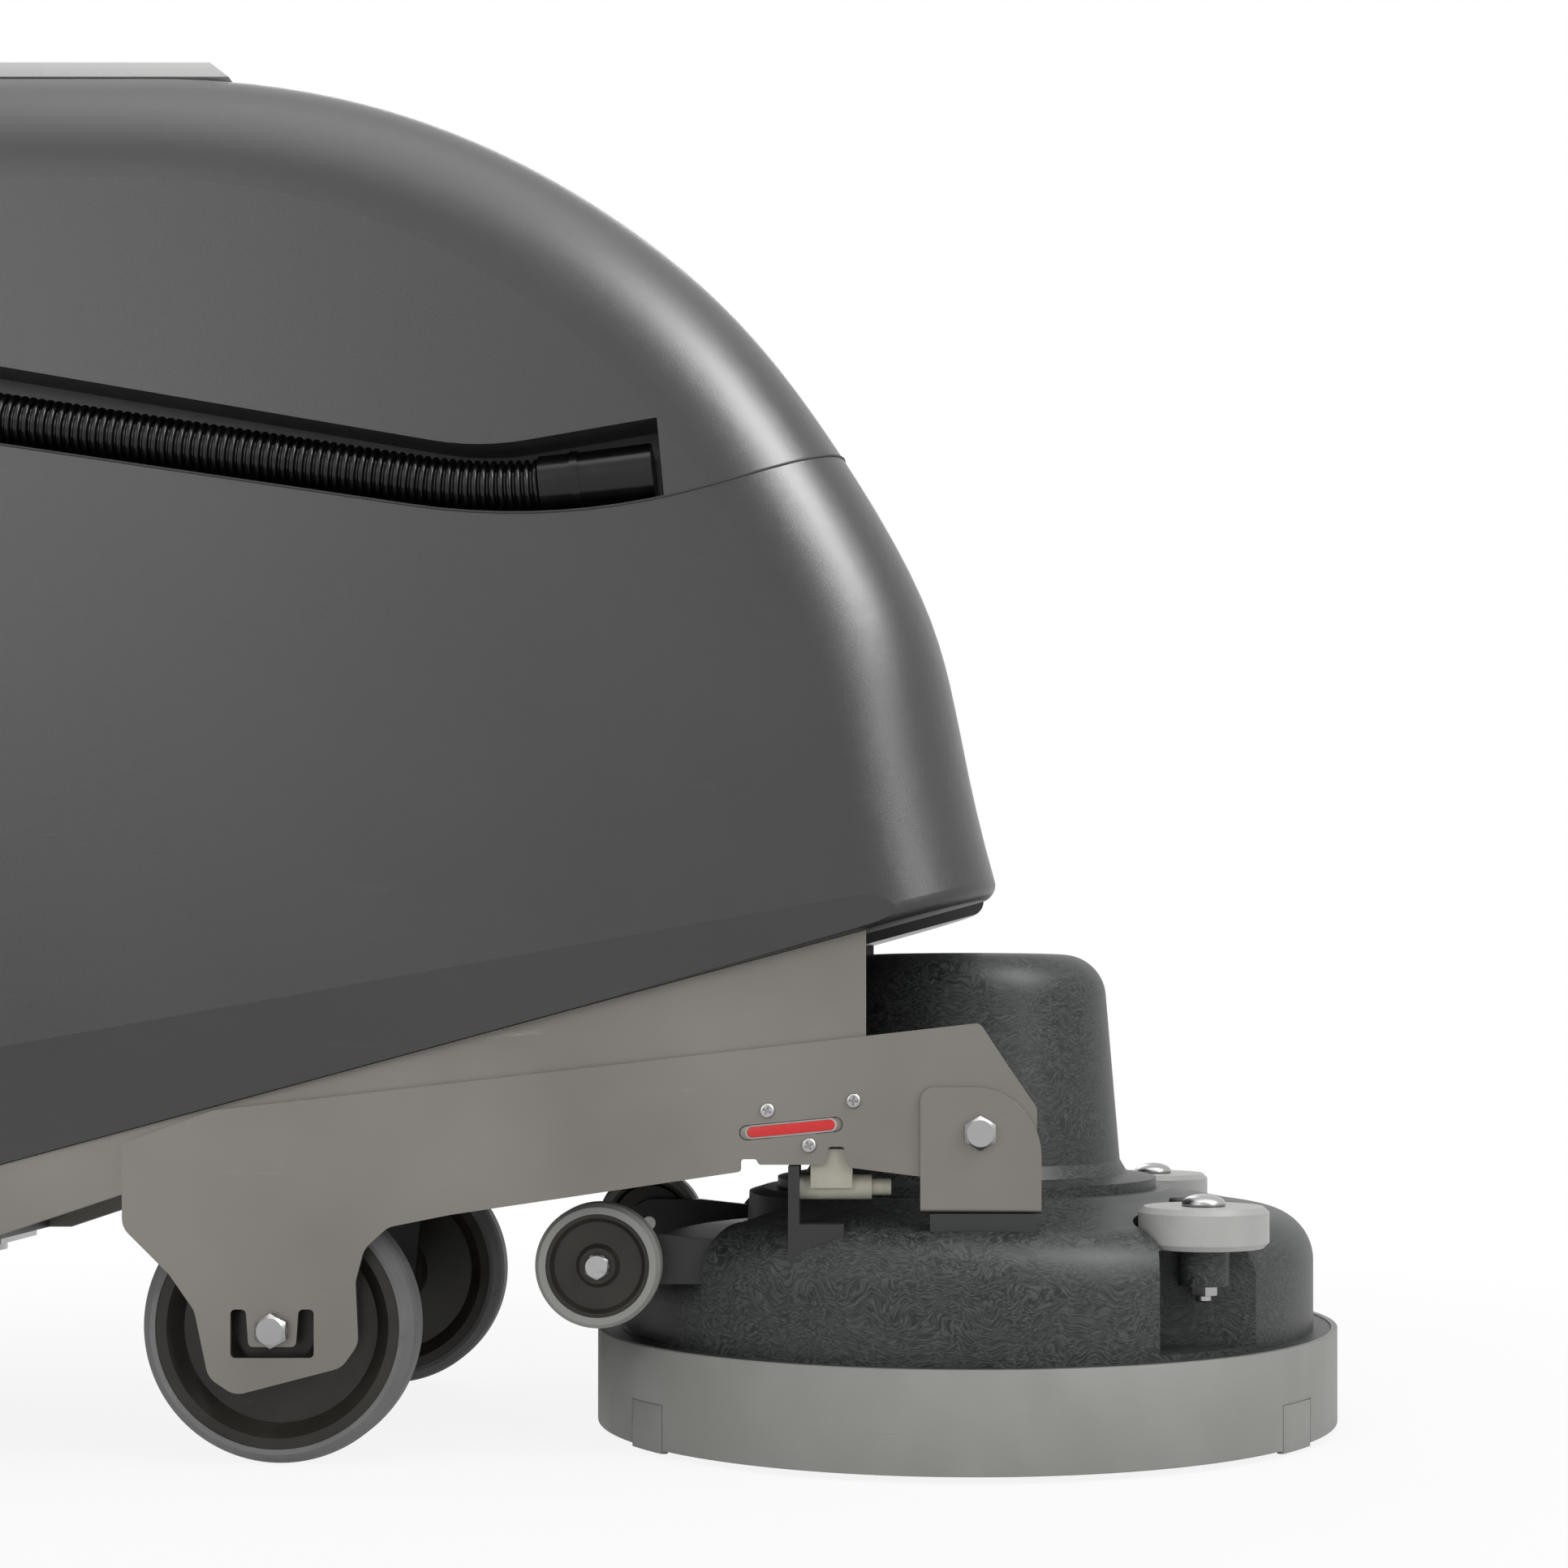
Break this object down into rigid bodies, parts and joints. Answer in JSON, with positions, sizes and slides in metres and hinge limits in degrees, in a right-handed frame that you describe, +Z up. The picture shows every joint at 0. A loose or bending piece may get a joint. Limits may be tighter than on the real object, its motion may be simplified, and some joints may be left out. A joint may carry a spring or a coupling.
{
  "type": "floor scrubber",
  "caption": "Walk-behind floor scrubber with stacked tanks, steel side arms and a disc scrub deck that lifts and folds up in front of the tanks for pad changing.",
  "frame": {"origin": "on the floor, in the middle of the machine's length and width, deck down", "axes": "+X to the front, where the scrub deck is, +Y to the machine's left, +Z up"},
  "size_m": [1.4, 0.72, 1.041],
  "materials": {
    "tank_plastic": "rotomoulded, fine grain",
    "lid_plastic": "pale grey moulding",
    "side_steel": "brushed stainless",
    "frame_paint": "black powder coat",
    "zinc_bolt": "bright zinc",
    "hose_black": "satin black",
    "hub_black": "moulded nylon",
    "tyre_grey": "non-marking grey",
    "deck_plastic": "swirled fibre filled",
    "skirt_grey": "matt grey",
    "roller_pale": "smooth",
    "pad_red": "open non-woven fibre",
    "strip_red": "smooth",
    "bristle_black": "stiff nylon",
    "block_rubber": "matt",
    "valve_white": "natural nylon",
    "battery_case": "smooth",
    "motor_metal": "cast",
    "console_black": "fine grain",
    "blade_rubber": "natural gum",
    "button_green": "smooth"
  },
  "bodies": {
    "chassis": {"chassis_rails": "side_steel", "chassis_crossmembers": "frame_paint", "battery_tray": "frame_paint", "batteries": "battery_case", "axle_hangers": "frame_paint", "main_axle": "zinc_bolt", "axle_bolts": "zinc_bolt", "lower_tank": "tank_plastic", "upper_tank": "tank_plastic", "vacuum_motor": "motor_metal", "lid_hinge_pin": "zinc_bolt", "drain_hose": "hose_black", "hose_cuff": "hose_black", "hose_plug": "hose_black", "caster_plates": "zinc_bolt", "squeegee_hanger": "frame_paint", "control_console": "console_black", "handle_bar": "frame_paint", "handle_grips": "block_rubber"},
    "lid": {"recovery_lid": "lid_plastic"},
    "right_wheel": {"right_wheel_hub": "hub_black", "right_wheel_tyre": "tyre_grey"},
    "left_wheel": {"left_wheel_hub": "hub_black", "left_wheel_tyre": "tyre_grey"},
    "right_caster": {"right_caster_fork": "zinc_bolt"},
    "left_caster": {"left_caster_fork": "zinc_bolt"},
    "right_caster_roll": {"right_caster_wheel": "tyre_grey"},
    "left_caster_roll": {"left_caster_wheel": "tyre_grey"},
    "arms": {"lift_arms": "side_steel", "arm_cross_tube": "frame_paint", "slot_strips": "strip_red", "arm_screws": "zinc_bolt"},
    "deck": {"deck_housing": "deck_plastic", "stop_buffers": "block_rubber", "motor_cover": "deck_plastic", "brush_motor": "motor_metal", "deck_brackets": "side_steel", "bracket_pads": "block_rubber", "hinge_bolts": "zinc_bolt", "bumper_bolts": "zinc_bolt", "deck_wheel_carriers": "frame_paint", "deck_wheel_bolts": "zinc_bolt", "valve_plate": "frame_paint", "solenoid_valve": "valve_white"},
    "skirt": {"deck_skirt": "skirt_grey"},
    "pad": {"scrub_pad": "pad_red", "driver_bristles": "bristle_black", "pad_driver": "hub_black"},
    "right_roller": {"right_bumper_roller": "roller_pale"},
    "left_roller": {"left_bumper_roller": "roller_pale"},
    "right_deck_wheel": {"right_deck_wheel_hub": "hub_black", "right_deck_wheel_tyre": "skirt_grey"},
    "left_deck_wheel": {"left_deck_wheel_hub": "hub_black", "left_deck_wheel_tyre": "skirt_grey"},
    "squeegee": {"squeegee_carrier": "frame_paint", "squeegee_bar": "motor_metal", "squeegee_blades": "blade_rubber"},
    "trigger": {"trigger_bar": "console_black"},
    "button": {"start_button": "button_green"},
    "knob": {"flow_knob": "hub_black"}
  },
  "joints": [
    {"name": "lid_open", "type": "hinge", "parent": "chassis", "child": "lid", "pos_m": [-0.48, 0, 1.033], "axis": [0, -1, 0], "range_deg": [0, 100]},
    {"name": "deck_lift", "type": "hinge", "parent": "chassis", "child": "arms", "pos_m": [-0.102, 0, 0.1], "axis": [0, -1, 0], "range_deg": [0, 8.72]},
    {"name": "deck_tilt", "type": "hinge", "parent": "arms", "child": "deck", "pos_m": [0.407, 0, 0.242], "axis": [0, -1, 0], "range_deg": [0, 86]},
    {"name": "pad_spin", "type": "hinge", "parent": "deck", "child": "pad", "pos_m": [0.403, 0, 0.06], "axis": [0, 0, 1], "continuous": true},
    {"name": "squeegee_lift", "type": "hinge", "parent": "chassis", "child": "squeegee", "pos_m": [-0.556, 0, 0.118], "axis": [0, 1, 0], "range_deg": [0, 20]},
    {"name": "trigger_squeeze", "type": "hinge", "parent": "chassis", "child": "trigger", "pos_m": [-0.632, 0, 0.9], "axis": [0, 1, 0], "range_deg": [0, 12], "stiffness_Nm_per_rad": 0.6},
    {"name": "flow_knob_turn", "type": "hinge", "parent": "chassis", "child": "knob", "pos_m": [-0.5905, 0.07, 0.9945], "axis": [-0.7532, 0, 0.6578], "range_deg": [0, 270]},
    {"name": "button_press", "type": "slide", "parent": "chassis", "child": "button", "axis": [0.7532, 0, -0.6578], "range_m": [0, 0.003], "stiffness_N_per_m": 400},
    {"name": "skirt_lift", "type": "slide", "parent": "deck", "child": "skirt", "axis": [0, 0, 1], "range_m": [0, 0.04]},
    {"name": "right_wheel_spin", "type": "hinge", "parent": "chassis", "child": "right_wheel", "pos_m": [-0.102, -0.204, 0.1], "axis": [0, 1, 0], "continuous": true},
    {"name": "right_caster_swivel", "type": "hinge", "parent": "chassis", "child": "right_caster", "pos_m": [-0.47, -0.17, 0.12], "axis": [0, 0, 1], "continuous": true},
    {"name": "right_caster_spin", "type": "hinge", "parent": "right_caster", "child": "right_caster_roll", "pos_m": [-0.495, -0.17, 0.05], "axis": [0, 1, 0], "continuous": true},
    {"name": "right_roller_spin", "type": "hinge", "parent": "deck", "child": "right_roller", "pos_m": [0.573, -0.195, 0.171], "axis": [0, 0, 1], "continuous": true},
    {"name": "right_deck_wheel_spin", "type": "hinge", "parent": "deck", "child": "right_deck_wheel", "pos_m": [0.128, -0.195, 0.143], "axis": [0, 1, 0], "continuous": true},
    {"name": "left_wheel_spin", "type": "hinge", "parent": "chassis", "child": "left_wheel", "pos_m": [-0.102, 0.204, 0.1], "axis": [0, 1, 0], "continuous": true},
    {"name": "left_caster_swivel", "type": "hinge", "parent": "chassis", "child": "left_caster", "pos_m": [-0.47, 0.17, 0.12], "axis": [0, 0, 1], "continuous": true},
    {"name": "left_caster_spin", "type": "hinge", "parent": "left_caster", "child": "left_caster_roll", "pos_m": [-0.495, 0.17, 0.05], "axis": [0, 1, 0], "continuous": true},
    {"name": "left_roller_spin", "type": "hinge", "parent": "deck", "child": "left_roller", "pos_m": [0.573, 0.195, 0.171], "axis": [0, 0, 1], "continuous": true},
    {"name": "left_deck_wheel_spin", "type": "hinge", "parent": "deck", "child": "left_deck_wheel", "pos_m": [0.128, 0.195, 0.143], "axis": [0, 1, 0], "continuous": true}
  ],
  "couplings": [
    {"joint": "deck_lift", "follows": "deck_tilt", "ratio": 0.10116}
  ]
}
